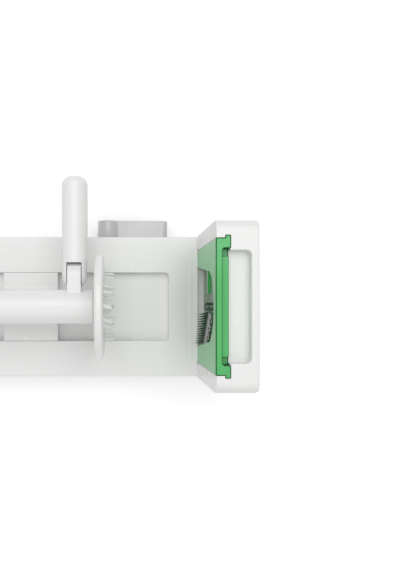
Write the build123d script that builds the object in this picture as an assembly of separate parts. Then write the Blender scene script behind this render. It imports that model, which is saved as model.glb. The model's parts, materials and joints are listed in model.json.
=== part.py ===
from build123d import *
from math import cos, pi, radians, sin
import os

# Hand-cranked table spiralizer: a base held by a suction cup, a carriage that slides along a trough in
# the deck and carries the crank and the toothed food holder, and a blade cartridge dropped into an upright
# housing.
#
# Frame: origin on the table under the middle of the suction cup, +X along the feed towards the blades,
# +Y towards the side handle, +Z up. Every length is in millimetres.

# ---------------------------------------------------------------- fits
RUNNING = 0.05  # radial gap of a shaft that turns in its bush
FIXED = 0.02  # radial gap of a bush, pin or screw that stays in its hole
SLIDING = 0.4  # gap beside a flat face that slides
SEAT = 0.3  # gap of a loose piece beside its pocket
JOIN = 1.0  # how far one form of a moulding runs into the next

# ---------------------------------------------------------------- base
BASE_HALF_Y = 65.0
BASE_BOTTOM_Z = 4.0
DECK_Z = 45.0
DECK_THICKNESS = 2.8
WALL = 2.6
BASE_REAR_CORNER_R = 12.0
BASE_FRONT_CORNER_R = 3.2
DECK_EDGE_R = 1.2
COVER_THICKNESS = 2.5

# trough and its side grooves, in which the carriage runs
TROUGH_HALF_Y = 32.0
TROUGH_DEPTH = 8.0
TROUGH_END_SETBACK = 26.3  # from the blade face back to the end of the trough
TROUGH_CORNER_R = 3.7
GROOVE_REACH = 3.2
GROOVE_HEIGHT = 3.6
TROUGH_SKIN = 2.6
STOP_THICKNESS = 4.0
STOP_GAP = 0.7

# ---------------------------------------------------------------- feed line
HOLDER_R = 44.0
HOLDER_DECK_GAP = 6.0
AXIS_Z = DECK_Z + HOLDER_DECK_GAP + HOLDER_R
BLADE_FACE_X = 84.0  # face of the cartridge that the food is pushed against
FORWARD_TRAVEL = 70.0
BACK_TRAVEL = 29.5
TIP_GAP = 3.5  # holder teeth to comb at the end of the travel

# ---------------------------------------------------------------- cartridge
CARTRIDGE_HALF_Y = 51.8
CARTRIDGE_THICKNESS = 10.6
TAB_REACH = 2.1
TAB_BACK = 0.7  # how far the tabs stand behind the cartridge
TAB_THICKNESS = 3.7
CARTRIDGE_END_WIDTH = 7.3  # end blocks of the top bar, inside the tabs
DISH_DEPTH = 6.0
ARCH_FOOT_HALF_Y = 36.6
ARCH_SHOULDER_HALF_Y = 29.0
ARCH_SHOULDER_RISE = 15.0  # above the feed line
ARCH_TOP_RISE = 44.0
LEDGE_DROP = 4.0
LEDGE_FRONT_RIM = 5.0
LEDGE_POCKET_WIDTH = 6.0
LEDGE_POCKET_DROP = 9.0
LEDGE_CORNER_R = 2.2
CARTRIDGE_TOP_R = 1.2
CARTRIDGE_FOOT_R = 6.0
SHELF_LENGTH = 18.0
SHELF_THICKNESS = 3.0
SHELF_HEIGHT = 4.0

# blades
BLADE_ANGLE = -134.0  # the radius the blades lie on, from +Y, turning about +X
BLADE_THICKNESS = 0.6
BLADE_WIDTH = 10.0
BLADE_START_R = 6.5
BLADE_END_R = 53.0
BLADE_TILT = 18.0
BLADE_STAND_OFF = 0.6
NOODLE_SLOT_WIDTH = 4.0
NOODLE_SLOT_SEAT = 3.4  # bend of the blade behind its edge
COMB_PITCH = 3.2
COMB_COUNT = 13
COMB_LENGTH = 9.5
COMB_WIDTH = 3.2
COMB_GAP = 0.2
COMB_THICKNESS = 0.6
COMB_STRIP_THICKNESS = 0.8
CORER_R = 3.6
CORER_BORE_R = 3.1
RIVET_R = 1.6
RIVET_HEAD_R = 2.6
RIVET_HEAD = 0.9
RIVET_COUNT = 3
RIVET_INSET = 6.0
RIVET_PITCH = 11.0
RIVET_OFFSET = 6.6

# ---------------------------------------------------------------- housing
HOUSING_OVERHANG = 1.2  # housing beyond the sides of the base
HOUSING_THICKNESS = 32.8
HOUSING_SETBACK = 0.5  # housing face behind the cartridge face
HOUSING_ABOVE_AXIS = 54.0
HOUSING_TOP_R = 9.0
HOUSING_NOSE_R = 1.6
HOUSING_WALL = 2.9
POCKET_HALF_Y = 42.8
POCKET_LENGTH = 16.6
POCKET_DEPTH = 9.0
POCKET_CORNER_R = 4.0
OUTLET_R = 36.0
OUTLET_SILL = 4.0
LEG_CAVITY_GAP = 3.0

# ---------------------------------------------------------------- carriage
FOOT_LENGTH = 50.0
FOOT_SETBACK = 37.2  # food holder to the foot
FOOT_SIDE_RISE = 2.2  # foot above the deck at its outer edges
FOOT_FLOAT = 0.3
FOOT_LEAN = 0.6  # how far the pedestal's ends lean in
FOOT_LEAN_RISE = 7.0
PEDESTAL_ROOT_R = 6.0
PEDESTAL_HALF_Y = 13.2
FOOT_CAVITY_WALL = 3.2
SLEEVE_R = 14.5
SLEEVE_BORE_R = 11.0
BUSH_LENGTH = 14.0
BUSH_FLANGE = 1.6
BUSH_FLANGE_R = 12.6
HOLDER_GAP = 0.3  # bush flange to the food holder

# side handle and its hinge
HANDLE_SETBACK = 15.8  # from the sleeve's front end to the middle of the handle
HANDLE_R = 10.95
HANDLE_NECK_R = 10.6
HANDLE_TAPER_START = 24.0
HANDLE_TAPER_LENGTH = 18.0
HANDLE_LENGTH = 82.4  # from the pivot outwards
HANDLE_BALL_OFFSET = 1.8
HANDLE_END_R = 7.6
PIVOT_GAP = 13.0  # sleeve surface to the pivot
CLEVIS_HALF_WIDTH = 6.35
CLEVIS_DEPTH = 9.5  # from the pivot outwards
TONGUE_HALF_WIDTH = 5.6
TONGUE_R = 9.1
TONGUE_SIDES = 12  # flats round the end of the tongue
TONGUE_TURN = 14.0
TONGUE_HEEL_DROP = 3.0
HINGE_PIN_R = 2.5
HINGE_PIN_INSET = 1.2

# ---------------------------------------------------------------- food holder, crank and knob
HOLDER_THICKNESS = 7.2
HOLDER_EDGE_R = 3.0
HOLDER_HUB_R = 16.0
HOLDER_RECESS_DEPTH = 4.4
HOLDER_RIM = 4.5
TOOTH_LENGTH = 8.4
TOOTH_WIDTH = 3.9
TOOTH_TIP_WIDTH = 0.3
TOOTH_PAIRS = 6
TOOTH_THICKNESS = 1.7
TOOTH_RING_R = 27.5
TOOTH_PAIR_SPREAD = 5.7
TOOTH_PAIR_ANGLE = 27.8
SINGLE_TEETH = (-2.0, -62.0, 178.0, 118.0)
INNER_TOOTH_RING_R = 12.0
INNER_TEETH = 6
SOCKET_R = 5.6
SOCKET_BORE_R = 4.2
SOCKET_LENGTH = 6.0
SHAFT_R = 5.0
SHAFT_SEAT = 5.5  # how far the shaft runs into the holder and into the crank
RETAINER_R = 8.6
RETAINER_THICKNESS = 1.6
CROSS_PIN_R = 1.25
CROSS_PIN_LENGTH = 24.0
ARM_BASE_GAP = 4.0
ARM_THICKNESS = 9.0
ARM_HUB_R = 13.0
ARM_END_R = 10.0
ARM_HOLLOW_DEPTH = 4.0
ARM_RIM = 2.6
KNOB_TABLE_GAP = 12.0
KNOB_R = 13.0
KNOB_NECK_R = 8.0
KNOB_LENGTH = 42.0
KNOB_BELLY = 15.0  # from the free end to the thickest place
KNOB_BRIM = 1.2
KNOB_GAP = 0.5
CRANK_R = AXIS_Z - KNOB_R - KNOB_TABLE_GAP
SPINDLE_R = 4.0
SPINDLE_SEAT = 6.5
SPINDLE_FLANGE_R = 6.5
SPINDLE_FLANGE = 1.6
SPINDLE_SCREW_HEAD_R = 5.4
KNOB_CAP_R = 7.4
KNOB_CAP_THICKNESS = 2.4
CAP_HOLLOW = 5.4
SCREW_HEAD_R = 3.6
SCREW_HEAD = 2.0
SCREW_R = 1.6
CRANK_SCREW_LENGTH = 10.0

# ---------------------------------------------------------------- suction foot
LEVER_AXIS_Z = 20.0
LEVER_HUB_R = 9.6
LEVER_WIDTH = 16.8
LEVER_LENGTH = 58.1
LEVER_TOP_RISE = 4.4
LEVER_BOTTOM_DROP = 6.0
LEVER_TIP_R = 4.6
LEVER_ROOT_R = 3.6
LEVER_SCREW_POCKET = 3.0
LEVER_HUB_FLOOR = 1.5  # hub between the shaft end and the screw head
LEVER_SIDE_GAP = 0.3
LEVER_BUSH_R = 6.0
LEVER_BUSH_FLANGE = 1.0
LEVER_BUSH_FLANGE_R = 8.0
LEVER_SHAFT_R = 3.5
LEVER_FLAT = 1.0
ECCENTRIC = 2.5
ECCENTRIC_R = 6.2
ECCENTRIC_HALF_Y = 5.4
YOKE_TOP_GAP = 0.8
YOKE_WALL = 3.2
YOKE_HALF_Y = 5.7
PLUNGER_R = 5.0
PLUNGER_FLANGE_R = 9.0
PLUNGER_FLANGE = 1.0
CUP_R = 42.0
CUP_RIM_Z = 0.1
CUP_RIM_THICKNESS = 1.4
CUP_HOLLOW = 3.0
CUP_TOP_Z = 6.2
WELL_GAP = 2.0
WELL_WALL = 2.4
WELL_PLATE_Z = 7.5
WELL_PLATE = 2.0
BRACKET_WALL = 3.5
BRACKET_PLATE = 1.5
BRACKET_HALF_X = 21.0
BRACKET_HALF_Y = 16.5
BRACKET_RIM = 6.0

# ---------------------------------------------------------------- feet and screws
RUBBER_FOOT_R = 8.0
RUBBER_FOOT_PLUG_R = 3.0
RUBBER_FOOT_INSET = 18.0
BOSS_R = 4.2
BOSS_INSET = 9.5
HOUSING_BOSS_INSET = 6.0
COVER_SCREW_LENGTH = 14.0
HOUSING_SCREW_LENGTH = 16.0

# ---------------------------------------------------------------- places worked out from the sizes above
HOUSING_X = BLADE_FACE_X + HOUSING_SETBACK
BASE_FRONT_X = HOUSING_X + HOUSING_THICKNESS
HOUSING_TOP_Z = AXIS_Z + HOUSING_ABOVE_AXIS
HOUSING_HALF_Y = BASE_HALF_Y + HOUSING_OVERHANG
DISH_X = BLADE_FACE_X + DISH_DEPTH
CARTRIDGE_BACK_X = BLADE_FACE_X + CARTRIDGE_THICKNESS
TAB_BACK_X = CARTRIDGE_BACK_X + TAB_BACK
TAB_FRONT_X = TAB_BACK_X - TAB_THICKNESS
COMB_TIP_X = DISH_X - COMB_LENGTH
TOOTH_TIP_X = COMB_TIP_X - TIP_GAP - FORWARD_TRAVEL
HOLDER_FRONT_X = TOOTH_TIP_X - TOOTH_LENGTH
HOLDER_BACK_X = HOLDER_FRONT_X - HOLDER_THICKNESS
SLEEVE_FRONT_X = HOLDER_BACK_X - HOLDER_GAP - BUSH_FLANGE
FOOT_FRONT_X = HOLDER_BACK_X - FOOT_SETBACK
FOOT_REAR_X = FOOT_FRONT_X - FOOT_LENGTH
STOP_FRONT_X = FOOT_REAR_X - BACK_TRAVEL - STOP_GAP
BASE_REAR_X = STOP_FRONT_X - STOP_THICKNESS
ARM_FRONT_X = BASE_REAR_X - FORWARD_TRAVEL - ARM_BASE_GAP
ARM_BACK_X = ARM_FRONT_X - ARM_THICKNESS
SLEEVE_REAR_X = ARM_FRONT_X + HOLDER_GAP + RETAINER_THICKNESS + BUSH_FLANGE + HOLDER_GAP
TROUGH_FLOOR_Z = DECK_Z - TROUGH_DEPTH
TROUGH_END_X = BLADE_FACE_X - TROUGH_END_SETBACK
GROOVE_END_X = FOOT_FRONT_X + FORWARD_TRAVEL + STOP_GAP
GROOVE_HALF_Y = TROUGH_HALF_Y + GROOVE_REACH
COVER_TOP_Z = BASE_BOTTOM_Z + COVER_THICKNESS
HANDLE_X = SLEEVE_FRONT_X - HANDLE_SETBACK
PIVOT_Y = SLEEVE_R + PIVOT_GAP
KNOB_Z = AXIS_Z - CRANK_R
INNER_HALF_Y = BASE_HALF_Y - WALL
LEVER_INNER_Y = BASE_HALF_Y + LEVER_BUSH_FLANGE + LEVER_SIDE_GAP
LEVER_OUTER_Y = LEVER_INNER_Y + LEVER_WIDTH
WELL_R = CUP_R + WELL_GAP
WELL_TOP_Z = WELL_PLATE_Z + WELL_PLATE
FOOT_TOP_Z = DECK_Z + FOOT_SIDE_RISE


# ---------------------------------------------------------------- helpers
def block(x0, x1, y0, y1, z0, z1):
    """Box between two corners."""
    return Pos((x0 + x1) / 2, (y0 + y1) / 2, (z0 + z1) / 2) * Box(x1 - x0, y1 - y0, z1 - z0)


def rod_x(r, x0, x1, y=0.0, z=AXIS_Z):
    """Cylinder along X."""
    return Pos((x0 + x1) / 2, y, z) * Rot(0, 90, 0) * Cylinder(r, x1 - x0)


def rod_y(r, y0, y1, x=0.0, z=LEVER_AXIS_Z):
    """Cylinder along Y."""
    return Pos(x, (y0 + y1) / 2, z) * Rot(90, 0, 0) * Cylinder(r, y1 - y0)


def rod_z(r, z0, z1, x=0.0, y=0.0):
    """Cylinder along Z."""
    return Pos(x, y, (z0 + z1) / 2) * Cylinder(r, z1 - z0)


def mirrored(shape):
    """The shape and its mirror image across the middle plane Y = 0."""
    return shape + mirror(shape, about=Plane.XZ)


def edges_along(shape, axis, where):
    """Edges of the shape that run along an axis and whose middle passes the test."""
    return [e for e in shape.edges().filter_by(axis) if where(e.center())]


def screws(places, head_z, length, down=1):
    """Pan-head screws along Z with their heads at head_z; down = 1 points the shank upwards."""
    found = []
    for x, y in places:
        top, bottom = sorted((head_z, head_z - down * SCREW_HEAD))
        head = rod_z(SCREW_HEAD_R, top, bottom, x, y)
        low, high = sorted((head_z, head_z + down * length))
        found.append(head + rod_z(SCREW_R, low, high, x, y))
    return found


def save(name, shape):
    """Write one node as one STEP file."""
    solids = shape if isinstance(shape, list) else [shape]
    body = Compound(children=solids) if len(solids) > 1 else solids[0]
    export_step(body, f"parts/{name}.step")


# ---------------------------------------------------------------- base
def boss_places():
    """Cover screws: three along each side of the base."""
    x_rear = BASE_REAR_X + WALL + BOSS_INSET
    x_front = HOUSING_X - BOSS_INSET
    y = INNER_HALF_Y - BOSS_INSET
    return [(x, s * y) for x in (x_rear, (x_rear + x_front) / 2 - BOSS_INSET, x_front) for s in (-1, 1)]


def rubber_foot_places():
    """One foot near each corner."""
    x_rear = BASE_REAR_X + WALL + RUBBER_FOOT_INSET
    x_front = BASE_FRONT_X - WALL - RUBBER_FOOT_INSET
    y = INNER_HALF_Y - RUBBER_FOOT_INSET
    rear = [("rear_right", x_rear, -y), ("rear_left", x_rear, y)]
    return rear + [("front_right", x_front, -y), ("front_left", x_front, y)]


def housing_screw_places():
    """One screw into each leg of the housing."""
    cavity_x = TAB_BACK_X + SEAT + HOUSING_WALL
    y = OUTLET_R + LEG_CAVITY_GAP + BOSS_R + HOUSING_BOSS_INSET
    return [((cavity_x + BASE_FRONT_X - HOUSING_WALL) / 2, s * y) for s in (-1, 1)]


def base_shell():
    """Moulded shell with the deck, the trough and the screw bosses, open underneath."""
    shell = block(BASE_REAR_X, BASE_FRONT_X, -BASE_HALF_Y, BASE_HALF_Y, BASE_BOTTOM_Z, DECK_Z)
    shell = fillet(edges_along(shell, Axis.Z, lambda c: c.X < 0), BASE_REAR_CORNER_R)
    shell = fillet(edges_along(shell, Axis.Z, lambda c: c.X > 0), BASE_FRONT_CORNER_R)
    rim = [e for e in shell.edges() if abs(e.center().Z - DECK_Z) < 0.01 and e.center().X < HOUSING_X]
    shell = fillet(rim, DECK_EDGE_R)
    inside = block(
        BASE_REAR_X + WALL, BASE_FRONT_X - WALL, -INNER_HALF_Y, INNER_HALF_Y, BASE_BOTTOM_Z, DECK_Z - DECK_THICKNESS
    )
    inside = fillet(edges_along(inside, Axis.Z, lambda c: c.X < 0), BASE_REAR_CORNER_R - WALL)
    shell -= inside
    half = GROOVE_HALF_Y + TROUGH_SKIN
    floor_z = TROUGH_FLOOR_Z - TROUGH_SKIN
    shell += block(BASE_REAR_X + WALL, TROUGH_END_X + TROUGH_SKIN, -half, half, floor_z, DECK_Z - DECK_THICKNESS)
    for x, y in boss_places() + housing_screw_places():
        top = DECK_Z - DECK_THICKNESS
        low = COVER_TOP_Z if (x, y) in boss_places() else top - 2 * SCREW_HEAD
        shell += rod_z(BOSS_R, low, top, x, y)
    trough = block(BASE_REAR_X, TROUGH_END_X, -TROUGH_HALF_Y, TROUGH_HALF_Y, TROUGH_FLOOR_Z, DECK_Z)
    trough = fillet(edges_along(trough, Axis.Z, lambda c: c.X > 0), TROUGH_CORNER_R)
    shell -= trough
    shell -= block(
        BASE_REAR_X, GROOVE_END_X, -GROOVE_HALF_Y, GROOVE_HALF_Y, TROUGH_FLOOR_Z, TROUGH_FLOOR_Z + GROOVE_HEIGHT
    )
    for x, y in boss_places():
        shell -= rod_z(SCREW_R + FIXED, COVER_TOP_Z, COVER_TOP_Z + COVER_SCREW_LENGTH, x, y)
    for x, y in housing_screw_places():
        shell -= rod_z(SCREW_R + FIXED, BASE_BOTTOM_Z, DECK_Z, x, y)
    return shell - rod_y(LEVER_BUSH_R + FIXED, 0, BASE_HALF_Y)


def trough_stop():
    """Block pushed into the rear end of the trough, held by its flanges in the side grooves."""
    stop = block(
        BASE_REAR_X, STOP_FRONT_X, -TROUGH_HALF_Y + SEAT, TROUGH_HALF_Y - SEAT, TROUGH_FLOOR_Z, DECK_Z - DECK_EDGE_R
    )
    return stop + block(
        BASE_REAR_X,
        STOP_FRONT_X,
        -GROOVE_HALF_Y + FIXED,
        GROOVE_HALF_Y - FIXED,
        TROUGH_FLOOR_Z,
        TROUGH_FLOOR_Z + GROOVE_HEIGHT - FIXED,
    )


def bottom_cover():
    """Plate that closes the base, raised in the middle into the well of the suction cup."""
    gap = WALL + SEAT
    half_y = BASE_HALF_Y - gap
    cover = block(BASE_REAR_X + gap, BASE_FRONT_X - gap, -half_y, half_y, BASE_BOTTOM_Z, COVER_TOP_Z)
    cover = fillet(edges_along(cover, Axis.Z, lambda c: c.X < 0), BASE_REAR_CORNER_R - WALL)
    cover += rod_z(WELL_R + WELL_WALL, BASE_BOTTOM_Z, WELL_TOP_Z)
    cover -= rod_z(WELL_R, BASE_BOTTOM_Z, WELL_PLATE_Z)
    cover -= rod_z(PLUNGER_R + RUNNING, BASE_BOTTOM_Z, WELL_TOP_Z)
    for x, y in boss_places():
        cover -= rod_z(SCREW_R + FIXED, BASE_BOTTOM_Z, COVER_TOP_Z, x, y)
        cover -= rod_z(SCREW_HEAD_R + FIXED, BASE_BOTTOM_Z, BASE_BOTTOM_Z + SCREW_HEAD / 2, x, y)
    for _, x, y in rubber_foot_places():
        cover -= rod_z(RUBBER_FOOT_PLUG_R + FIXED, BASE_BOTTOM_Z, COVER_TOP_Z, x, y)
    for x, y in bracket_screw_places():
        cover -= rod_z(SCREW_R + FIXED, BASE_BOTTOM_Z, WELL_TOP_Z, x, y)
    return cover


def rubber_foot(x, y):
    """Rubber foot with its plug in the cover."""
    foot = fillet(rod_z(RUBBER_FOOT_R, 0, BASE_BOTTOM_Z, x, y).edges().group_by(Axis.Z)[0], BASE_BOTTOM_Z / 5)
    return foot + rod_z(RUBBER_FOOT_PLUG_R, BASE_BOTTOM_Z, COVER_TOP_Z + 1, x, y)


def cover_screws():
    """Screws of the bottom cover, heads sunk half way into it."""
    return screws(boss_places(), BASE_BOTTOM_Z + SCREW_HEAD / 2, COVER_SCREW_LENGTH)


# ---------------------------------------------------------------- housing
def blade_housing():
    """Upright frame that holds the cartridge, with the noodle outlet and a finger pocket."""
    x0, x1 = HOUSING_X, BASE_FRONT_X
    body = block(x0, x1, -HOUSING_HALF_Y, HOUSING_HALF_Y, DECK_Z, HOUSING_TOP_Z)
    body = fillet(edges_along(body, Axis.Z, lambda c: c.X > x0 + 1), BASE_FRONT_CORNER_R)
    crown = block(x0, x1, -HOUSING_HALF_Y, HOUSING_HALF_Y, DECK_Z, HOUSING_TOP_Z)
    crown = fillet(edges_along(crown, Axis.X, lambda c: c.Z > AXIS_Z), HOUSING_TOP_R)
    nose = block(x0, x1, -HOUSING_HALF_Y, HOUSING_HALF_Y, DECK_Z, HOUSING_TOP_Z)
    nose = fillet(edges_along(nose, Axis.Y, lambda c: c.X > x0 + 1 and c.Z > AXIS_Z), HOUSING_NOSE_R)
    body = body & crown & nose
    slot_half = CARTRIDGE_HALF_Y + SEAT
    tab_half = slot_half + TAB_REACH
    body -= block(x0, CARTRIDGE_BACK_X + SEAT, -slot_half, slot_half, DECK_Z, HOUSING_TOP_Z)
    ends = CARTRIDGE_HALF_Y - CARTRIDGE_END_WIDTH - SEAT
    body -= mirrored(block(TAB_FRONT_X - SEAT, TAB_BACK_X + SEAT, ends, tab_half, DECK_Z, HOUSING_TOP_Z))
    tunnel = block(x0, x1, -OUTLET_R, OUTLET_R, DECK_Z + OUTLET_SILL, AXIS_Z) + rod_x(OUTLET_R, x0, x1)
    body -= tunnel
    pocket_x1 = CARTRIDGE_BACK_X + POCKET_LENGTH
    pocket_z = HOUSING_TOP_Z - POCKET_DEPTH
    pocket = block(x0, pocket_x1, -POCKET_HALF_Y, POCKET_HALF_Y, pocket_z, HOUSING_TOP_Z)
    pocket = fillet(edges_along(pocket, Axis.Z, lambda c: c.X > x0 + 1), POCKET_CORNER_R)
    body -= pocket
    cavity_x0 = TAB_BACK_X + SEAT + HOUSING_WALL
    cavity = block(
        cavity_x0,
        x1 - HOUSING_WALL,
        OUTLET_R + LEG_CAVITY_GAP,
        HOUSING_HALF_Y - HOUSING_WALL,
        DECK_Z,
        pocket_z - HOUSING_WALL,
    )
    body -= mirrored(cavity)
    for x, y in housing_screw_places():
        roof = DECK_Z + HOUSING_SCREW_LENGTH
        body += rod_z(BOSS_R, DECK_Z, roof, x, y)
        web_end = HOUSING_HALF_Y - HOUSING_WALL / 2
        y0, y1 = sorted((y, web_end if y > 0 else -web_end))
        body += block(x - HOUSING_WALL / 3, x + HOUSING_WALL / 3, y0, y1, DECK_Z, roof)
        body -= rod_z(SCREW_R + FIXED, DECK_Z, roof, x, y)
    return body


def housing_screws():
    """Screws up through the deck into the legs of the housing."""
    head_z = DECK_Z - DECK_THICKNESS - 2 * SCREW_HEAD
    return screws(housing_screw_places(), head_z, HOUSING_SCREW_LENGTH + DECK_THICKNESS)


# ---------------------------------------------------------------- cartridge
def on_blade_radius(shape):
    """Turn a shape laid along +Y from the feed line onto the radius of the blades."""
    return Pos(0, 0, AXIS_Z) * Rot(BLADE_ANGLE, 0, 0) * shape


def dish_arch(x0, x1):
    """Arched recess in front of the blades, open down to the deck."""
    shoulder_z = AXIS_Z + ARCH_SHOULDER_RISE
    top_z = AXIS_Z + ARCH_TOP_RISE
    outline = Polyline(
        (-ARCH_SHOULDER_HALF_Y, shoulder_z),
        (-ARCH_FOOT_HALF_Y, DECK_Z),
        (ARCH_FOOT_HALF_Y, DECK_Z),
        (ARCH_SHOULDER_HALF_Y, shoulder_z),
    ) + ThreePointArc((ARCH_SHOULDER_HALF_Y, shoulder_z), (0, top_z), (-ARCH_SHOULDER_HALF_Y, shoulder_z))
    return Pos(x0, 0, 0) * extrude(Plane.YZ * make_face(outline), x1 - x0)


def cartridge_frame():
    """Translucent cartridge: plate with side tabs, arched dish, noodle slot and a stepped top bar."""
    x0, x1 = BLADE_FACE_X, CARTRIDGE_BACK_X
    top = HOUSING_TOP_Z
    body = block(x0, x1, -CARTRIDGE_HALF_Y, CARTRIDGE_HALF_Y, DECK_Z, top)
    front = edges_along(body, Axis.Y, lambda c: c.X < x0 + CARTRIDGE_TOP_R and c.Z > AXIS_Z)
    body = fillet(front, CARTRIDGE_TOP_R)
    body = fillet(edges_along(body, Axis.X, lambda c: c.Z < AXIS_Z), CARTRIDGE_FOOT_R)
    ends = CARTRIDGE_HALF_Y - CARTRIDGE_END_WIDTH
    body += mirrored(block(TAB_FRONT_X, TAB_BACK_X, ends, CARTRIDGE_HALF_Y + TAB_REACH, DECK_Z, top))
    body -= dish_arch(x0, DISH_X)
    ledge_x = x0 + LEDGE_FRONT_RIM
    ledge = block(ledge_x, x1, -ends, ends, top - LEDGE_DROP, top)
    body -= fillet(edges_along(ledge, Axis.Z, lambda c: c.X < x1), LEDGE_CORNER_R)
    pocket = block(ledge_x, TAB_BACK_X, ends - LEDGE_POCKET_WIDTH, ends, top - LEDGE_POCKET_DROP, top)
    corners = edges_along(pocket, Axis.Z, lambda c: c.X < TAB_BACK_X and c.Y > ends - LEDGE_CORNER_R)
    pocket = fillet(corners, LEDGE_CORNER_R)
    body -= mirrored(pocket)
    shelf_y = ARCH_SHOULDER_HALF_Y - SHELF_LENGTH
    shelf_z = AXIS_Z + ARCH_SHOULDER_RISE
    shelf_end = ARCH_SHOULDER_HALF_Y + JOIN
    body += block(x0, x0 + SHELF_THICKNESS, shelf_y, shelf_end, shelf_z - SHELF_HEIGHT, shelf_z)
    slot = block(DISH_X, x1, BLADE_START_R, BLADE_END_R, 0, NOODLE_SLOT_WIDTH)
    body -= on_blade_radius(slot)
    body -= rod_x(CORER_R + FIXED, x0, x1)
    for y in rivet_radii():
        bore = rod_x(RIVET_R + FIXED, DISH_X, x1, y, -RIVET_OFFSET)
        sink = rod_x(RIVET_HEAD_R + FIXED, x1 - RIVET_HEAD, x1, y, -RIVET_OFFSET)
        body -= on_blade_radius(bore + sink)
    return body


def rivet_radii():
    """Rivets along the blade."""
    return [BLADE_START_R + RIVET_INSET + k * RIVET_PITCH for k in range(RIVET_COUNT)]


def straight_blade():
    """Bent slicing blade, its edge lifted off the dish floor over the noodle slot."""
    bend = -NOODLE_SLOT_SEAT
    lift = NOODLE_SLOT_SEAT * sin(radians(BLADE_TILT)) + BLADE_STAND_OFF
    back = DISH_X
    face = DISH_X - BLADE_THICKNESS
    outline = Polyline(
        (back, -BLADE_WIDTH),
        (face, -BLADE_WIDTH),
        (face, bend),
        (face - lift, 0.0),
        (back - lift, 0.0),
        (back, bend),
        close=True,
    )
    body = Pos(0, BLADE_END_R, 0) * extrude(Plane.XZ * make_face(outline), BLADE_END_R - BLADE_START_R)
    for y in rivet_radii():
        body -= rod_x(RIVET_R + FIXED, face, back, y, -RIVET_OFFSET)
    return on_blade_radius(body) & dish_arch(BLADE_FACE_X - COMB_LENGTH, DISH_X)


def blade_rivets():
    """Rivets that hold the blade on the dish floor, their rear heads sunk in the cartridge."""
    found = []
    for y in rivet_radii():
        face = DISH_X - BLADE_THICKNESS
        rivet = rod_x(RIVET_R, face, CARTRIDGE_BACK_X, y, -RIVET_OFFSET)
        rivet += rod_x(RIVET_HEAD_R, face - RIVET_HEAD, face, y, -RIVET_OFFSET)
        rivet += rod_x(RIVET_HEAD_R, CARTRIDGE_BACK_X - RIVET_HEAD, CARTRIDGE_BACK_X, y, -RIVET_OFFSET)
        found.append(on_blade_radius(rivet))
    return found


def comb_blades():
    """Strip with pointed upright blades that score the food into strands."""
    z0 = NOODLE_SLOT_WIDTH + COMB_GAP
    last = BLADE_END_R - COMB_THICKNESS
    first = last - (COMB_COUNT - 1) * COMB_PITCH
    face = DISH_X - COMB_STRIP_THICKNESS
    strip = block(face, DISH_X, first - COMB_THICKNESS, last + COMB_THICKNESS, z0, z0 + COMB_WIDTH)
    z1 = z0 + COMB_WIDTH
    outline = Polyline((DISH_X, z0), (COMB_TIP_X, z0), (face, z1), (DISH_X, z1), close=True)
    prong = extrude(Plane.XZ * make_face(outline), COMB_THICKNESS / 2, both=True)
    for k in range(COMB_COUNT):
        strip += Pos(0, first + k * COMB_PITCH, 0) * prong
    return on_blade_radius(strip) & dish_arch(BLADE_FACE_X - COMB_LENGTH, DISH_X)


def corer_ring():
    """Sharp tube on the feed line that leaves the core whole."""
    x0, x1 = BLADE_FACE_X, CARTRIDGE_BACK_X
    return rod_x(CORER_R, x0, x1) - rod_x(CORER_BORE_R, x0, x1)


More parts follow.
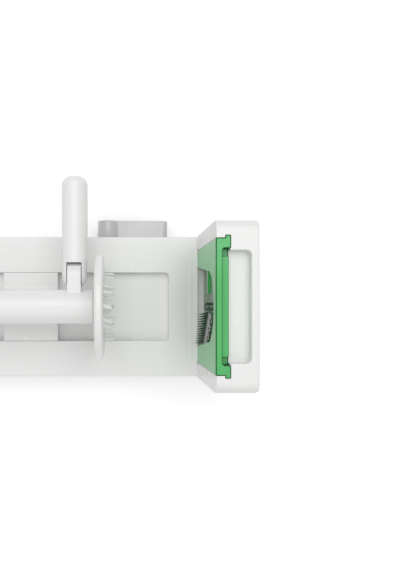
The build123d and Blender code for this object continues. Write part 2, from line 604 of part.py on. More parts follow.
# ---------------------------------------------------------------- carriage
def carriage_body():
    """Foot, pedestal, long sleeve and hinge tongue in one moulding."""
    x0, x1 = FOOT_REAR_X, FOOT_FRONT_X
    half = TROUGH_HALF_Y - SLIDING
    low = TROUGH_FLOOR_Z + FOOT_FLOAT
    root_y, root_z = PEDESTAL_HALF_Y + PEDESTAL_ROOT_R, FOOT_TOP_Z + PEDESTAL_ROOT_R
    neck_z = AXIS_Z - SLEEVE_R / 3
    outline = Line((0, low), (half, low)) + Line((half, low), (half, FOOT_TOP_Z))
    outline += Line((half, FOOT_TOP_Z), (root_y, FOOT_TOP_Z))
    outline += RadiusArc((root_y, FOOT_TOP_Z), (PEDESTAL_HALF_Y, root_z), PEDESTAL_ROOT_R)
    outline += Line((PEDESTAL_HALF_Y, root_z), (PEDESTAL_HALF_Y, neck_z))
    outline += Line((PEDESTAL_HALF_Y, neck_z), (0, neck_z)) + Line((0, neck_z), (0, low))
    profile = Plane.YZ * make_face(outline)
    body = mirrored(Pos(x0, 0, 0) * extrude(profile, x1 - x0))
    lean = Polyline(
        (x0, low),
        (x1, low),
        (x1, FOOT_TOP_Z),
        (x1 - FOOT_LEAN, FOOT_TOP_Z + FOOT_LEAN_RISE),
        (x1 - 2 * FOOT_LEAN, AXIS_Z),
        (x0 + 2 * FOOT_LEAN, AXIS_Z),
        (x0 + FOOT_LEAN, FOOT_TOP_Z + FOOT_LEAN_RISE),
        (x0, FOOT_TOP_Z),
        close=True,
    )
    body = body & Pos(0, TROUGH_HALF_Y, 0) * extrude(Plane.XZ * make_face(lean), 2 * TROUGH_HALF_Y)
    tongue_half = GROOVE_HALF_Y - SLIDING
    body += block(x0, x1, -tongue_half, tongue_half, low, TROUGH_FLOOR_Z + GROOVE_HEIGHT - SLIDING)
    wall = FOOT_CAVITY_WALL
    cavity_top = FOOT_TOP_Z - wall
    body -= block(x0 + wall, x1 - wall, -half + wall, half - wall, low, cavity_top)
    neck = PEDESTAL_HALF_Y - wall
    body -= block(x0 + wall, x1 - wall, -neck, neck, cavity_top, AXIS_Z - SLEEVE_R - wall)
    body += rod_x(SLEEVE_R, SLEEVE_REAR_X, SLEEVE_FRONT_X)
    tongue_x0, tongue_x1 = HANDLE_X - TONGUE_HALF_WIDTH, HANDLE_X + TONGUE_HALF_WIDTH
    heel_y = PIVOT_Y + CLEVIS_DEPTH - SEAT
    flat_r = TONGUE_R * cos(pi / TONGUE_SIDES)
    body += block(tongue_x0, tongue_x1, 0, PIVOT_Y, AXIS_Z - flat_r, AXIS_Z + flat_r)
    tongue_end = extrude(RegularPolygon(TONGUE_R, TONGUE_SIDES, rotation=TONGUE_TURN), tongue_x1 - tongue_x0)
    body += Pos(tongue_x0, PIVOT_Y, AXIS_Z) * Rot(0, 90, 0) * tongue_end
    body += block(tongue_x0, tongue_x1, PIVOT_Y, heel_y, AXIS_Z - TONGUE_R, AXIS_Z - TONGUE_HEEL_DROP)
    body -= rod_x(HINGE_PIN_R + RUNNING, tongue_x0, tongue_x1, PIVOT_Y, AXIS_Z)
    return body - rod_x(SLEEVE_BORE_R, SLEEVE_REAR_X, SLEEVE_FRONT_X)


def sleeve_bush(x_end, inward):
    """Flanged plain bearing in one end of the sleeve."""
    x_in = x_end + inward * BUSH_LENGTH
    x_out = x_end - inward * BUSH_FLANGE
    bush = rod_x(SLEEVE_BORE_R - FIXED, *sorted((x_end, x_in)))
    bush += rod_x(BUSH_FLANGE_R, *sorted((x_end, x_out)))
    return bush - rod_x(SHAFT_R + RUNNING, *sorted((x_in, x_out)))


def side_handle():
    """Solid round handle with a forked inner end."""
    ball_y = PIVOT_Y - HANDLE_BALL_OFFSET
    end_y = PIVOT_Y + HANDLE_LENGTH
    taper_y = PIVOT_Y + HANDLE_TAPER_START
    with BuildLine() as path:
        Line((0, ball_y - HANDLE_NECK_R), (0, end_y))
        Line((0, end_y), (HANDLE_R - HANDLE_END_R, end_y))
        RadiusArc((HANDLE_R - HANDLE_END_R, end_y), (HANDLE_R, end_y - HANDLE_END_R), HANDLE_END_R)
        Line((HANDLE_R, end_y - HANDLE_END_R), (HANDLE_R, taper_y + HANDLE_TAPER_LENGTH))
        Line((HANDLE_R, taper_y + HANDLE_TAPER_LENGTH), (HANDLE_NECK_R, taper_y))
        Line((HANDLE_NECK_R, taper_y), (HANDLE_NECK_R, ball_y))
        RadiusArc((HANDLE_NECK_R, ball_y), (0, ball_y - HANDLE_NECK_R), HANDLE_NECK_R)
    body = Pos(HANDLE_X, 0, AXIS_Z) * revolve(make_face(path.line), Axis.Y)
    slot_x0, slot_x1 = HANDLE_X - CLEVIS_HALF_WIDTH, HANDLE_X + CLEVIS_HALF_WIDTH
    body -= block(slot_x0, slot_x1, 0, PIVOT_Y + CLEVIS_DEPTH, AXIS_Z - HANDLE_R, AXIS_Z + HANDLE_R)
    pin = hinge_pin_half()
    return body - rod_x(HINGE_PIN_R + FIXED, HANDLE_X - pin, HANDLE_X + pin, PIVOT_Y, AXIS_Z)


def hinge_pin_half():
    """Half length of the hinge pin, its ends just inside the fork."""
    return HANDLE_NECK_R - HINGE_PIN_INSET


def hinge_pin():
    """Pin of the side handle, fixed in the fork and turning in the tongue."""
    half = hinge_pin_half()
    return rod_x(HINGE_PIN_R, HANDLE_X - half, HANDLE_X + half, PIVOT_Y, AXIS_Z)


# ---------------------------------------------------------------- food holder, crank and knob
def tooth(ring_r, angle):
    """Fin-shaped tooth with one straight and one slanted edge; angle from the top towards -Y."""
    outline = Polyline(
        (HOLDER_FRONT_X - JOIN, -TOOTH_WIDTH / 2),
        (HOLDER_FRONT_X, -TOOTH_WIDTH / 2),
        (TOOTH_TIP_X, TOOTH_WIDTH / 2 - TOOTH_TIP_WIDTH),
        (TOOTH_TIP_X, TOOTH_WIDTH / 2),
        (HOLDER_FRONT_X - JOIN, TOOTH_WIDTH / 2),
        close=True,
    )
    fin = Pos(0, 0, ring_r) * extrude(Plane.XY * make_face(outline), TOOTH_THICKNESS / 2, both=True)
    fin = mirror(fin, about=Plane.XZ)
    return Pos(0, 0, AXIS_Z) * Rot(angle, 0, 0) * fin


def tooth_angles():
    """Six pairs and four single teeth round the outer ring."""
    middles = [TOOTH_PAIR_ANGLE + 360 / TOOTH_PAIRS * k for k in range(TOOTH_PAIRS)]
    return [a + s * TOOTH_PAIR_SPREAD for a in middles for s in (-1, 1)] + list(SINGLE_TEETH)


def food_holder():
    """Round plate with a toothed ring that grips the food, hollowed behind, and a socket for the shaft."""
    x0, x1 = HOLDER_BACK_X, HOLDER_FRONT_X
    body = rod_x(HOLDER_R, x0, x1)
    body = fillet(body.edges(), HOLDER_EDGE_R)
    recess = rod_x(HOLDER_R - HOLDER_RIM, x0, x0 + HOLDER_RECESS_DEPTH)
    body -= recess - rod_x(HOLDER_HUB_R, x0, x0 + HOLDER_RECESS_DEPTH)
    for angle in tooth_angles():
        body += tooth(TOOTH_RING_R, angle)
    for k in range(INNER_TEETH):
        body += tooth(INNER_TOOTH_RING_R, 360 / INNER_TEETH * k)
    body += rod_x(SOCKET_R, x1 - JOIN, x1 + SOCKET_LENGTH)
    body -= rod_x(SOCKET_BORE_R, x1, x1 + SOCKET_LENGTH)
    body -= rod_x(SHAFT_R + FIXED, x0, x0 + SHAFT_SEAT)
    return body - cross_pin(FIXED)


def cross_pin(gap=0.0):
    """Pin through the holder's hub and the shaft."""
    x = HOLDER_BACK_X + HOLDER_RECESS_DEPTH / 2
    half = CROSS_PIN_LENGTH / 2
    return rod_z(CROSS_PIN_R + gap, AXIS_Z - half, AXIS_Z + half, x)


def crank_shaft():
    """Steel shaft through the sleeve, from the food holder to the crank arm."""
    shaft = rod_x(SHAFT_R, ARM_FRONT_X - SHAFT_SEAT, HOLDER_BACK_X + SHAFT_SEAT)
    shaft -= rod_x(SCREW_R + FIXED, ARM_FRONT_X - SHAFT_SEAT, ARM_FRONT_X - SHAFT_SEAT + CRANK_SCREW_LENGTH)
    return shaft - cross_pin(FIXED)


def retaining_ring():
    """Ring on the shaft between the rear bush and the crank arm."""
    ring = rod_x(RETAINER_R, ARM_FRONT_X, ARM_FRONT_X + RETAINER_THICKNESS)
    return ring - rod_x(SHAFT_R + FIXED, ARM_FRONT_X, ARM_FRONT_X + RETAINER_THICKNESS)


def arm_outline(shrink, x0, x1):
    """Tapered arm with round ends, hanging from the feed line to the knob."""
    hub = rod_x(ARM_HUB_R - shrink, x0, x1)
    end = rod_x(ARM_END_R - shrink, x0, x1, 0, KNOB_Z)
    lean = (ARM_HUB_R - ARM_END_R) / CRANK_R
    rise = (1 - lean**2) ** 0.5
    r0, r1 = ARM_HUB_R - shrink, ARM_END_R - shrink
    web = Polyline(
        (-r0 * rise, AXIS_Z - r0 * lean),
        (r0 * rise, AXIS_Z - r0 * lean),
        (r1 * rise, KNOB_Z - r1 * lean),
        (-r1 * rise, KNOB_Z - r1 * lean),
        close=True,
    )
    return hub + end + Pos(x0, 0, 0) * extrude(Plane.YZ * make_face(web), x1 - x0)


def crank_arm():
    """Crank arm, hollowed on the side that faces the base."""
    body = arm_outline(0, ARM_BACK_X, ARM_FRONT_X)
    hollow = arm_outline(ARM_RIM, ARM_FRONT_X - ARM_HOLLOW_DEPTH, ARM_FRONT_X)
    keep = rod_x(RETAINER_R, ARM_FRONT_X - ARM_HOLLOW_DEPTH, ARM_FRONT_X)
    keep += rod_x(SPINDLE_FLANGE_R, ARM_FRONT_X - ARM_HOLLOW_DEPTH, ARM_FRONT_X, 0, KNOB_Z)
    body -= hollow - keep
    body -= rod_x(SHAFT_R + FIXED, ARM_FRONT_X - SHAFT_SEAT, ARM_FRONT_X)
    body -= rod_x(SCREW_R + FIXED, ARM_BACK_X, ARM_FRONT_X)
    body -= rod_x(SCREW_HEAD_R + FIXED, ARM_BACK_X, ARM_BACK_X + SCREW_HEAD)
    return body - rod_x(SPINDLE_R + FIXED, ARM_BACK_X, ARM_BACK_X + SPINDLE_SEAT, 0, KNOB_Z)


def crank_screw():
    """Screw through the arm into the end of the shaft, its head sunk in the arm."""
    x0 = ARM_BACK_X
    body = rod_x(SCREW_HEAD_R, x0, x0 + SCREW_HEAD)
    return body + rod_x(SCREW_R, x0, ARM_FRONT_X - SHAFT_SEAT + CRANK_SCREW_LENGTH)


def knob_spindle():
    """Steel spindle of the knob, pressed into the arm, with a shoulder against it."""
    x_arm = ARM_BACK_X
    tip = x_arm - KNOB_LENGTH + CAP_HOLLOW - KNOB_GAP
    body = rod_x(SPINDLE_R, tip, x_arm + SPINDLE_SEAT, 0, KNOB_Z)
    body += rod_x(SPINDLE_FLANGE_R, x_arm - SPINDLE_FLANGE, x_arm, 0, KNOB_Z)
    return body - rod_x(SCREW_R + FIXED, tip, tip + CRANK_SCREW_LENGTH, 0, KNOB_Z)


def knob_retaining_screw():
    """Screw with a wide head that keeps the knob on its spindle."""
    tip = ARM_BACK_X - KNOB_LENGTH + CAP_HOLLOW - KNOB_GAP
    body = rod_x(SPINDLE_SCREW_HEAD_R, tip - SCREW_HEAD, tip, 0, KNOB_Z)
    return body + rod_x(SCREW_R, tip, tip + CRANK_SCREW_LENGTH, 0, KNOB_Z)


def crank_knob():
    """Turned knob that spins on the spindle."""
    start = SPINDLE_FLANGE + KNOB_GAP
    x0 = ARM_BACK_X
    end = x0 - KNOB_LENGTH
    neck, belly = (x0 - start, KNOB_NECK_R), (end + KNOB_BELLY, KNOB_R)
    brim = (end, KNOB_CAP_R + KNOB_BRIM)
    with BuildLine() as path:
        Line((neck[0], 0), neck)
        Spline(neck, belly, tangents=[(-1, 0), (-1, 0)])
        Spline(belly, brim, tangents=[(-1, 0), (0, -1)])
        Line(brim, (end, 0))
        Line((end, 0), (neck[0], 0))
    body = Pos(0, 0, KNOB_Z) * revolve(Plane.XZ * make_face(path.line), Axis.X)
    body -= rod_x(SPINDLE_R + RUNNING, end, x0, 0, KNOB_Z)
    return body - rod_x(KNOB_CAP_R + FIXED, end, end + CAP_HOLLOW, 0, KNOB_Z)


def knob_cap():
    """Cap pushed into the end of the knob."""
    end = ARM_BACK_X - KNOB_LENGTH
    return rod_x(KNOB_CAP_R, end, end + KNOB_CAP_THICKNESS, 0, KNOB_Z)


# ---------------------------------------------------------------- suction foot
def bracket_screw_places():
    """Four screws near the corners of the bracket."""
    x, y = BRACKET_HALF_X - BRACKET_RIM / 2, BRACKET_HALF_Y - BRACKET_RIM / 2
    return [(sx * x, sy * y) for sx in (-1, 1) for sy in (-1, 1)]


def yoke_window():
    """Half width, bottom and top of the plunger's window round the eccentric at rest."""
    centre_z = LEVER_AXIS_Z + ECCENTRIC
    half = ECCENTRIC_R + ECCENTRIC + SLIDING
    return half, centre_z - ECCENTRIC_R - SEAT, centre_z + ECCENTRIC_R + YOKE_TOP_GAP


def plunger():
    """Plunger with a window for the eccentric, its flange bonded to the top of the cup."""
    half, low, high = yoke_window()
    flange_top = CUP_TOP_Z + PLUNGER_FLANGE
    body = rod_z(PLUNGER_FLANGE_R, CUP_TOP_Z, flange_top) + rod_z(PLUNGER_R, CUP_TOP_Z, low - YOKE_WALL)
    x = half + YOKE_WALL
    body += block(-x, x, -YOKE_HALF_Y, YOKE_HALF_Y, low - YOKE_WALL, high + YOKE_WALL)
    return body - block(-half, half, -YOKE_HALF_Y, YOKE_HALF_Y, low, high)


def suction_cup():
    """Rubber cup, hollow underneath, with a flat top for the plunger."""
    hollow_z = CUP_RIM_Z + CUP_HOLLOW
    outline = Polyline(
        (0, hollow_z),
        (PLUNGER_FLANGE_R, hollow_z),
        (CUP_R - CUP_RIM_THICKNESS, CUP_RIM_Z),
        (CUP_R, CUP_RIM_Z),
        (CUP_R, CUP_RIM_Z + CUP_RIM_THICKNESS),
        (PLUNGER_FLANGE_R * 2, CUP_TOP_Z - CUP_RIM_THICKNESS / 2),
        (PLUNGER_FLANGE_R, CUP_TOP_Z),
        (0, CUP_TOP_Z),
        close=True,
    )
    return revolve(Plane.XZ * make_face(outline), Axis.Z)


def cam_bracket():
    """Bracket on the well, with two bearing walls for the lever shaft."""
    top = WELL_TOP_Z + BRACKET_PLATE
    half, _, _ = yoke_window()
    body = block(-BRACKET_HALF_X, BRACKET_HALF_X, -BRACKET_HALF_Y, BRACKET_HALF_Y, WELL_TOP_Z, top)
    wall_y = YOKE_HALF_Y + SLIDING
    wall_x = LEVER_SHAFT_R + BRACKET_WALL
    for s in (-1, 1):
        y0, y1 = sorted((s * wall_y, s * (wall_y + BRACKET_WALL)))
        body += block(-wall_x, wall_x, y0, y1, WELL_TOP_Z, LEVER_AXIS_Z) + rod_y(wall_x, y0, y1)
    reach = half + YOKE_WALL + SLIDING
    body -= block(-reach, reach, -wall_y, wall_y, WELL_TOP_Z, top)
    for x, y in bracket_screw_places():
        body -= rod_z(SCREW_R + FIXED, WELL_TOP_Z, top, x, y)
    return body - rod_y(LEVER_SHAFT_R + RUNNING, -BRACKET_HALF_Y, BRACKET_HALF_Y)


def bracket_screws():
    """Screws that hold the bracket on the well plate."""
    head_z = WELL_TOP_Z + BRACKET_PLATE
    return screws(bracket_screw_places(), head_z, BRACKET_PLATE + WELL_PLATE, down=-1)


def lever_shaft():
    """Shaft from the bracket to the lever, with the eccentric in the plunger's window."""
    inner = -(YOKE_HALF_Y + SLIDING + BRACKET_WALL)
    outer = LEVER_OUTER_Y - LEVER_SCREW_POCKET - LEVER_HUB_FLOOR
    body = rod_y(LEVER_SHAFT_R, inner, outer)
    body += rod_y(ECCENTRIC_R, -ECCENTRIC_HALF_Y, ECCENTRIC_HALF_Y, 0, LEVER_AXIS_Z + ECCENTRIC)
    flat_z = LEVER_AXIS_Z + LEVER_SHAFT_R - LEVER_FLAT
    body -= block(-LEVER_SHAFT_R, LEVER_SHAFT_R, LEVER_INNER_Y, outer, flat_z, flat_z + 2 * LEVER_FLAT)
    return body - rod_y(SCREW_R + FIXED, outer - CRANK_SCREW_LENGTH, outer)


def lever_bush():
    """Flanged plain bearing in the side wall of the base."""
    body = rod_y(LEVER_BUSH_R, INNER_HALF_Y, BASE_HALF_Y)
    body += rod_y(LEVER_BUSH_FLANGE_R, BASE_HALF_Y, BASE_HALF_Y + LEVER_BUSH_FLANGE)
    return body - rod_y(LEVER_SHAFT_R + RUNNING, INNER_HALF_Y, BASE_HALF_Y + LEVER_BUSH_FLANGE)


def suction_lever():
    """Flat lever with a round hub, lying along the side of the base."""
    y0, y1 = LEVER_INNER_Y, LEVER_OUTER_Y
    top_z = LEVER_AXIS_Z + LEVER_TOP_RISE
    low_z = LEVER_AXIS_Z - LEVER_BOTTOM_DROP
    paddle = block(0, LEVER_LENGTH, y0, y1, low_z, top_z)
    paddle = fillet(edges_along(paddle, Axis.Y, lambda c: c.X > 1), LEVER_TIP_R)
    paddle = fillet(edges_along(paddle, Axis.X, lambda c: c.Y > y0 + 1), LEVER_ROOT_R / 3)
    body = rod_y(LEVER_HUB_R, y0, y1) + paddle
    root = edges_along(body, Axis.Y, lambda c: abs(c.Z - top_z) < 0.01 and 1 < c.X < LEVER_HUB_R + 1)
    body = fillet(root, LEVER_ROOT_R)
    bore = rod_y(LEVER_SHAFT_R + FIXED, y0, y1 - LEVER_SCREW_POCKET - LEVER_HUB_FLOOR)
    flat_z = LEVER_AXIS_Z + LEVER_SHAFT_R - LEVER_FLAT + FIXED
    body -= bore - block(-LEVER_SHAFT_R, LEVER_SHAFT_R, y0, y1, flat_z, flat_z + 2 * LEVER_FLAT)
    body -= rod_y(SCREW_R + FIXED, y0, y1)
    return body - rod_y(SCREW_HEAD_R + FIXED, y1 - LEVER_SCREW_POCKET, y1)


def lever_screw():
    """Screw that holds the lever on the end of its shaft."""
    seat = LEVER_OUTER_Y - LEVER_SCREW_POCKET
    tip = seat - LEVER_HUB_FLOOR - CRANK_SCREW_LENGTH + SCREW_HEAD
    return rod_y(SCREW_HEAD_R, seat, seat + SCREW_HEAD) + rod_y(SCREW_R, tip, seat)


# ---------------------------------------------------------------- all nodes
def main():
    os.makedirs("parts", exist_ok=True)
    save("base_shell", base_shell())
    save("trough_stop", trough_stop())
    save("bottom_cover", bottom_cover())
    save("cover_screws", cover_screws())
    for name, x, y in rubber_foot_places():
        save(f"rubber_foot_{name}", rubber_foot(x, y))
    save("blade_housing", blade_housing())
    save("housing_screws", housing_screws())
    save("cartridge_frame", cartridge_frame())
    save("straight_blade", straight_blade())
    save("blade_rivets", blade_rivets())
    save("comb_blades", comb_blades())
    save("corer_ring", corer_ring())
    save("carriage_body", carriage_body())
    save("front_sleeve_bush", sleeve_bush(SLEEVE_FRONT_X, -1))
    save("rear_sleeve_bush", sleeve_bush(SLEEVE_REAR_X, 1))
    save("side_handle", side_handle())
    save("hinge_pin", hinge_pin())
    save("food_holder", food_holder())
    save("holder_cross_pin", cross_pin())
    save("crank_shaft", crank_shaft())
    save("retaining_ring", retaining_ring())
    save("crank_arm", crank_arm())
    save("crank_screw", crank_screw())
    save("knob_spindle", knob_spindle())
    save("knob_retaining_screw", knob_retaining_screw())
    save("crank_knob", crank_knob())
    save("knob_cap", knob_cap())
    save("suction_cup", suction_cup())
    save("plunger", plunger())
    save("cam_bracket", cam_bracket())
    save("bracket_screws", bracket_screws())
    save("lever_shaft", lever_shaft())
    save("lever_bush", lever_bush())
    save("suction_lever", suction_lever())
    save("lever_screw", lever_screw())


main()
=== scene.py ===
import json
from math import radians

import bpy
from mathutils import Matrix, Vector


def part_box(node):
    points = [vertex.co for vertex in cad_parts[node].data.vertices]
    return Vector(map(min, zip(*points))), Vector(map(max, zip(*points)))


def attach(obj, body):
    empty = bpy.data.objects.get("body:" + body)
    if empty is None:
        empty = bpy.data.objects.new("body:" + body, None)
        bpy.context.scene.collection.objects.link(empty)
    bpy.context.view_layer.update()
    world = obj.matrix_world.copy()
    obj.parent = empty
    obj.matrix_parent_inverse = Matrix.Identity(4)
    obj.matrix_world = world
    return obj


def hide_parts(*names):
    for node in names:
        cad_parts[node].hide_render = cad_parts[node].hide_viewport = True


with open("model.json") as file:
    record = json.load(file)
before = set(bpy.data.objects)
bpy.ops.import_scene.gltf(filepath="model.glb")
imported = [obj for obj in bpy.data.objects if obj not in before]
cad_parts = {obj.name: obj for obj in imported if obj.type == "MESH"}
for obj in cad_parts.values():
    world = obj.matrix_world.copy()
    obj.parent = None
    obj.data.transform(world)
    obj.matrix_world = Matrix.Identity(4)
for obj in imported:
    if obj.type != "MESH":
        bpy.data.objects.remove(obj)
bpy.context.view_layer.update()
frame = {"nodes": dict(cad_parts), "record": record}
nodes = frame["nodes"]
scene = bpy.context.scene
SLOT_OF = {row["node"]: row["material_slot"] for row in frame["record"]["subparts"]}
BODY_OF = {
    node: body
    for body, members in frame["record"]["behaviour"]["bodies"].items()
    for node in members
}

# ---- picture and camera, which looks straight down ------------------------------------------------
PICTURE = (400, 570)                      # width and height in pixels
NADIR_PX = (120.0, 306.7)                 # the point straight below the camera, in the picture
FOCAL_PX = 577.0                          # focal length in pixels
CAMERA_PLACE = Vector((0.012, 0.0, 0.583))
CAMERA_NEAR = 0.01
SENSOR = 36.0                             # mm, along the picture's long side

# ---- light: places and sizes in metres, power in watts --------------------------------------------
LAMPS = {
    "key": (Vector((0.02, 0.58, 1.34)), (1.5, 0.9), 6.9),
    "fill": (Vector((0.05, -0.15, 1.60)), (1.3, 1.3), 2.6),
    "side": (Vector((-0.05, -0.90, 0.95)), (1.2, 0.6), 1.2),
}
LAMP_TARGET = Vector((0.0, 0.0, 0.05))
WORLD_LIGHT = 0.61                        # the camera itself sees a world of strength 1, pure white
FLOOR_GLOW = 0.31                         # white added to the floor, which no shadow takes away
FLOOR_COLOUR = (0.80, 0.80, 0.80, 1.0)
FLOOR_HALF = 3.0

# ---- softened edges: bevels in metres -------------------------------------------------------------
CARTRIDGE_BEVEL = 0.0005
SOFT_EDGES = {
    "blade_housing": 0.0005,
    "suction_lever": 0.0005,
    "food_holder": 0.0003,
    "crank_arm": 0.0005,
    "trough_stop": 0.0004,
}
BEVEL_SEGMENTS = 2
BEVEL_ANGLE = radians(28.0)               # edges sharper than this get the bevel
FLAT_ANGLE = radians(0.5)                 # triangles that meet at less than this are one flat face
WELD_DISTANCE = 1e-6
FACE_TURN = 0.2                           # share of a face's normal that counts as turned that way
DISH_STEP = 0.0004                        # faces this far behind the cartridge's front are its dish

# ---- the housing's coved foot on the deck, in metres ----------------------------------------------
APRON_REACH = 0.0082                      # in front of the housing
APRON_RISE = 0.0022                       # where it meets the housing
APRON_OUTLINE = (                         # x from its front edge, and height over the deck
    (0.0, 0.0),
    (0.0, 0.0004),
    (0.0004, 0.0007),
    (0.0040, 0.0009),
    (0.0066, 0.0014),
)
APRON_INSET = 0.0010                      # from the sides of the base
APRON_SLOT_ROOM = 0.0005                  # beside the cartridge


def add_camera():
    data = bpy.data.cameras.new("camera")
    data.sensor_width = SENSOR
    data.lens = FOCAL_PX / max(PICTURE) * SENSOR
    data.clip_start = CAMERA_NEAR
    data.shift_x = (PICTURE[0] / 2 - NADIR_PX[0]) / max(PICTURE)
    data.shift_y = (NADIR_PX[1] - PICTURE[1] / 2) / max(PICTURE)
    camera = bpy.data.objects.new("camera", data)
    camera.location = CAMERA_PLACE
    scene.collection.objects.link(camera)
    scene.camera = camera


def add_lamp(name, place, size, power):
    data = bpy.data.lights.new(name, "AREA")
    data.shape = "RECTANGLE"
    data.size, data.size_y = size
    data.energy = power
    lamp = bpy.data.objects.new(name, data)
    lamp.location = place
    lamp.rotation_euler = (LAMP_TARGET - place).to_track_quat("-Z", "Y").to_euler()
    scene.collection.objects.link(lamp)


# ---- materials ------------------------------------------------------------------------------------
class Nodes:
    """Short calls for building one material's node tree."""

    def __init__(self, name):
        self.material = bpy.data.materials.new(name)
        self.material.use_nodes = True
        self.tree = self.material.node_tree
        self.tree.nodes.clear()
        self.coords = self.tree.nodes.new("ShaderNodeTexCoord").outputs["Object"]

    def link(self, a, b):
        self.tree.links.new(a, b)

    def noise(self, scale, detail, roughness=0.5, stretch=None):
        node = self.tree.nodes.new("ShaderNodeTexNoise")
        node.inputs["Scale"].default_value = scale
        node.inputs["Detail"].default_value = detail
        node.inputs["Roughness"].default_value = roughness
        if stretch:
            mapping = self.tree.nodes.new("ShaderNodeMapping")
            mapping.inputs["Scale"].default_value = stretch
            self.link(self.coords, mapping.inputs["Vector"])
            self.link(mapping.outputs["Vector"], node.inputs["Vector"])
        else:
            self.link(self.coords, node.inputs["Vector"])
        return node.outputs["Fac"]

    def ramp(self, value, places, colours):
        node = self.tree.nodes.new("ShaderNodeValToRGB")
        for element, place, colour in zip(node.color_ramp.elements, places, colours):
            element.position = place
            element.color = colour
        self.link(value, node.inputs["Fac"])
        return node.outputs["Color"]

    def spread(self, value, low, high):
        node = self.tree.nodes.new("ShaderNodeMapRange")
        node.inputs["To Min"].default_value = low
        node.inputs["To Max"].default_value = high
        self.link(value, node.inputs["Value"])
        return node.outputs["Result"]

    def bump(self, height, strength, distance):
        node = self.tree.nodes.new("ShaderNodeBump")
        node.inputs["Strength"].default_value = strength
        node.inputs["Distance"].default_value = distance
        self.link(height, node.inputs["Height"])
        return node.outputs["Normal"]

    def principled(self, links, values):
        node = self.tree.nodes.new("ShaderNodeBsdfPrincipled")
        for name, value in values.items():
            node.inputs[name].default_value = value
        for name, socket in links.items():
            self.link(socket, node.inputs[name])
        output = self.tree.nodes.new("ShaderNodeOutputMaterial")
        self.link(node.outputs["BSDF"], output.inputs["Surface"])


def grey(value, tint=0.0):
    """A grey with its blue taken down by tint."""
    return (value, value, value * (1.0 - tint), 1.0)


def finish(name, look):
    """A material from its row of the table: colour, roughness and fine bump each follow a noise."""
    n = Nodes(name)
    colour = n.ramp(n.noise(*look["cloud"]), look["places"], look["tones"])
    rough = n.spread(n.noise(*look["gloss"]), *look["rough"])
    strength, depth = look["bump"]
    grain = n.bump(n.noise(*look["grain"]), strength, depth)
    n.principled({"Base Color": colour, "Roughness": rough, "Normal": grain}, look["shader"])
    return n.material


# cloud, gloss and grain are noises: scale, detail, roughness, stretch. places are the two ends of the
# cloud's ramp and tones its two colours. bump is a strength and a depth in metres.
CALM = (0.35, 0.65)
LIVELY = (0.30, 0.70)
BRUSHED = (260.0, 4.0, 0.6, (1.0, 0.06, 1.0))
CAST = (220.0, 5.0)


def tinted(low, high, clearness, rough):
    """Clear plastic with a tint between low and high."""
    return {
        "cloud": (25.0, 4.0), "places": CALM, "tones": (low, high),
        "gloss": (80.0, 4.0), "rough": rough,
        "grain": (700.0, 2.0), "bump": (0.05, 0.0002),
        "shader": {"IOR": 1.49, "Transmission Weight": clearness, "Specular IOR Level": 0.5},
    }


LOOKS = {
    "white_plastic": {
        "cloud": (9.0, 4.0), "places": CALM, "tones": (grey(0.812, 0.010), grey(0.830, 0.006)),
        "gloss": (60.0, 5.0), "rough": (0.20, 0.31),
        "grain": (900.0, 2.0), "bump": (0.06, 0.0002),
        "shader": {"IOR": 1.50, "Specular IOR Level": 0.5},
    },
    "green_plastic": tinted(
        (0.085, 0.510, 0.140, 1.0), (0.110, 0.570, 0.175, 1.0), clearness=0.16, rough=(0.12, 0.22)
    ),
    "grey_plastic": {
        "cloud": (30.0, 4.0), "places": CALM, "tones": (grey(0.52), grey(0.58)),
        "gloss": (90.0, 4.0), "rough": (0.10, 0.20),
        "grain": (800.0, 2.0), "bump": (0.04, 0.0002),
        "shader": {"IOR": 1.50, "Coat Weight": 0.4, "Coat Roughness": 0.05},
    },
    "rubber": {
        "cloud": (40.0, 5.0), "places": LIVELY, "tones": (grey(0.20), grey(0.27)),
        "gloss": (150.0, 4.0), "rough": (0.55, 0.75),
        "grain": (1200.0, 3.0), "bump": (0.25, 0.0002),
        "shader": {"IOR": 1.50, "Specular IOR Level": 0.35},
    },
    "nylon": {
        "cloud": (35.0, 4.0), "places": CALM, "tones": (grey(0.62, 0.08), grey(0.68, 0.06)),
        "gloss": (100.0, 4.0), "rough": (0.38, 0.52),
        "grain": (900.0, 2.0), "bump": (0.08, 0.0002),
        "shader": {"IOR": 1.53},
    },
    "steel": {
        "cloud": BRUSHED, "places": LIVELY, "tones": (grey(0.30), grey(0.46)),
        "gloss": BRUSHED, "rough": (0.16, 0.34),
        "grain": BRUSHED, "bump": (0.10, 0.0001),
        "shader": {"Metallic": 1.0},
    },
    "screw_steel": {
        "cloud": CAST, "places": LIVELY, "tones": (grey(0.42, 0.05), grey(0.56, 0.03)),
        "gloss": CAST, "rough": (0.28, 0.45),
        "grain": CAST, "bump": (0.12, 0.0001),
        "shader": {"Metallic": 1.0},
    },
}
# painted shade: the cartridge's plastic seen edge on is painted a deeper green than the flat front
GREEN_PAINTED_EDGE_SHADE = tinted(
    (0.006, 0.150, 0.030, 1.0), (0.012, 0.210, 0.045, 1.0), clearness=0.10, rough=(0.08, 0.16)
)
# painted shade: the cartridge's dished face is painted a deeper green than the flat front
GREEN_PAINTED_DISH_SHADE = tinted(
    (0.014, 0.120, 0.026, 1.0), (0.022, 0.165, 0.038, 1.0), clearness=0.16, rough=(0.12, 0.22)
)
MATERIALS = {name: finish(name, look) for name, look in LOOKS.items()}


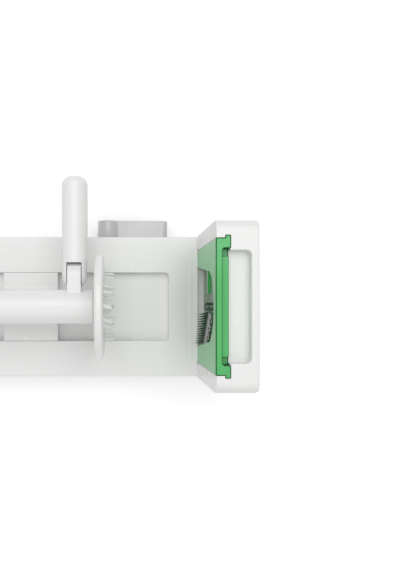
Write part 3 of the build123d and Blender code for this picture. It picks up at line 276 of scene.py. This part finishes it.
def floor_material():
    """White card that takes shadow, with a glow added for the camera, glass and gloss."""
    n = Nodes("floor")
    new = n.tree.nodes.new
    diffuse = new("ShaderNodeBsdfDiffuse")
    diffuse.inputs["Color"].default_value = FLOOR_COLOUR
    glow = new("ShaderNodeEmission")
    path = new("ShaderNodeLightPath")
    seen = path.outputs["Is Camera Ray"]
    for ray in ("Is Glossy Ray", "Is Transmission Ray"):
        either = new("ShaderNodeMath")
        either.operation = "MAXIMUM"
        n.link(seen, either.inputs[0])
        n.link(path.outputs[ray], either.inputs[1])
        seen = either.outputs["Value"]
    n.link(n.spread(seen, 0.0, FLOOR_GLOW), glow.inputs["Strength"])
    both = new("ShaderNodeAddShader")
    n.link(diffuse.outputs["BSDF"], both.inputs[0])
    n.link(glow.outputs["Emission"], both.inputs[1])
    output = new("ShaderNodeOutputMaterial")
    n.link(both.outputs["Shader"], output.inputs["Surface"])
    return n.material


def add_floor():
    half = FLOOR_HALF
    mesh = bpy.data.meshes.new("floor")
    corners = [(-half, -half, 0.0), (half, -half, 0.0), (half, half, 0.0), (-half, half, 0.0)]
    mesh.from_pydata(corners, [], [(0, 1, 2, 3)])
    mesh.materials.append(floor_material())
    floor = bpy.data.objects.new("floor", mesh)
    scene.collection.objects.link(floor)


def set_world():
    world = bpy.data.worlds.new("world")
    scene.world = world
    world.use_nodes = True
    tree = world.node_tree
    background = tree.nodes["Background"]
    background.inputs["Color"].default_value = (1.0, 1.0, 1.0, 1.0)
    path = tree.nodes.new("ShaderNodeLightPath")
    seen = tree.nodes.new("ShaderNodeMapRange")
    seen.inputs["To Min"].default_value = WORLD_LIGHT
    seen.inputs["To Max"].default_value = 1.0
    tree.links.new(path.outputs["Is Camera Ray"], seen.inputs["Value"])
    tree.links.new(seen.outputs["Result"], background.inputs["Strength"])


# ---- the object -----------------------------------------------------------------------------------
def dress_nodes():
    """Each CAD node takes the material of its slot in the record."""
    for node, slot in SLOT_OF.items():
        mesh = nodes[node].data
        mesh.materials.clear()
        mesh.materials.append(MATERIALS[slot])


def softened(node, width, edge_material=None, marks=()):
    """A copy of a CAD node with its sharp edges bevelled; it stands for the node.

    The bevel takes edge_material. marks pairs a material with a test of the faces that take it.
    """
    source = nodes[node]
    mesh = source.data.copy()
    mesh.name = node + "_soft"
    piece = bpy.data.objects.new(node + "_soft", mesh)
    scene.collection.objects.link(piece)
    piece.matrix_world = source.matrix_world.copy()
    weld = piece.modifiers.new("weld", "WELD")
    weld.merge_threshold = WELD_DISTANCE
    flats = piece.modifiers.new("flats", "DECIMATE")
    flats.decimate_type = "DISSOLVE"
    flats.angle_limit = FLAT_ANGLE
    bevel = piece.modifiers.new("bevel", "BEVEL")
    bevel.width = width
    bevel.segments = BEVEL_SEGMENTS
    bevel.limit_method = "ANGLE"
    bevel.angle_limit = BEVEL_ANGLE
    bevel.use_clamp_overlap = False
    bevel.harden_normals = True
    if edge_material:
        mesh.materials.append(edge_material)
        bevel.material = len(mesh.materials) - 1
    for material, chosen in marks:
        if material.name not in mesh.materials:
            mesh.materials.append(material)
        place = mesh.materials.find(material.name)
        for face in mesh.polygons:
            if chosen(face):
                face.material_index = place
    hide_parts(node)
    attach(piece, BODY_OF[node])


def add_cartridge():
    """The cartridge with painted shade: its edges, its rounded top edge among them, and its dish are
    painted a deeper green.
    """
    edge_painted_shade = finish("green_painted_edge_shade", GREEN_PAINTED_EDGE_SHADE)
    dish_painted_shade = finish("green_painted_dish_shade", GREEN_PAINTED_DISH_SHADE)
    dish_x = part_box("cartridge_frame")[0][0] + DISH_STEP

    # painted shade: the faces of the front top edge take the darker edge green
    def front_top_edge_painted_shade(face):
        return face.normal.x < -FACE_TURN and face.normal.z > FACE_TURN

    # painted shade: the dish's faces take the darker dish green
    def in_dish_painted_shade(face):
        return face.normal.x < -FACE_TURN and face.center.x > dish_x and face.normal.z < FACE_TURN

    marks = ((edge_painted_shade, front_top_edge_painted_shade), (dish_painted_shade, in_dish_painted_shade))
    softened("cartridge_frame", CARTRIDGE_BEVEL, edge_painted_shade, marks)


def add_apron():
    """The coved foot of the blade housing on the deck, with room for the cartridge's bottom edge."""
    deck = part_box("base_shell")[1][2]
    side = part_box("base_shell")[1][1] - APRON_INSET
    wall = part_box("blade_housing")[0][0]
    cartridge_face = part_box("cartridge_frame")[0][0]
    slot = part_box("cartridge_frame")[1][1] + APRON_SLOT_ROOM
    sections = (
        (-side, wall), (-slot, wall), (-slot, cartridge_face),
        (slot, cartridge_face), (slot, wall), (side, wall),
    )
    verts, faces = [], []
    for y, end in sections:
        ring = [(wall - APRON_REACH + x, deck + z) for x, z in APRON_OUTLINE]
        ring += [(end, deck + APRON_RISE), (end, deck)]
        verts += [(x, y, z) for x, z in ring]
    size = len(ring)
    for part in range(len(sections) - 1):
        for i in range(size):
            j = (i + 1) % size
            a, b = part * size, (part + 1) * size
            faces.append((a + i, a + j, b + j, b + i))
    faces += [tuple(range(size)), tuple(len(verts) - 1 - i for i in range(size))]
    mesh = bpy.data.meshes.new("housing_apron")
    mesh.from_pydata(verts, [], faces)
    mesh.validate()
    mesh.materials.append(MATERIALS["white_plastic"])
    apron = bpy.data.objects.new("housing_apron", mesh)
    scene.collection.objects.link(apron)
    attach(apron, "base")


scene.view_settings.view_transform = "Standard"
add_camera()
for lamp_name, (place, size, power) in LAMPS.items():
    add_lamp(lamp_name, place, size, power)
set_world()
add_floor()
dress_nodes()
add_cartridge()
add_apron()
for soft_node, soft_width in SOFT_EDGES.items():
    softened(soft_node, soft_width)
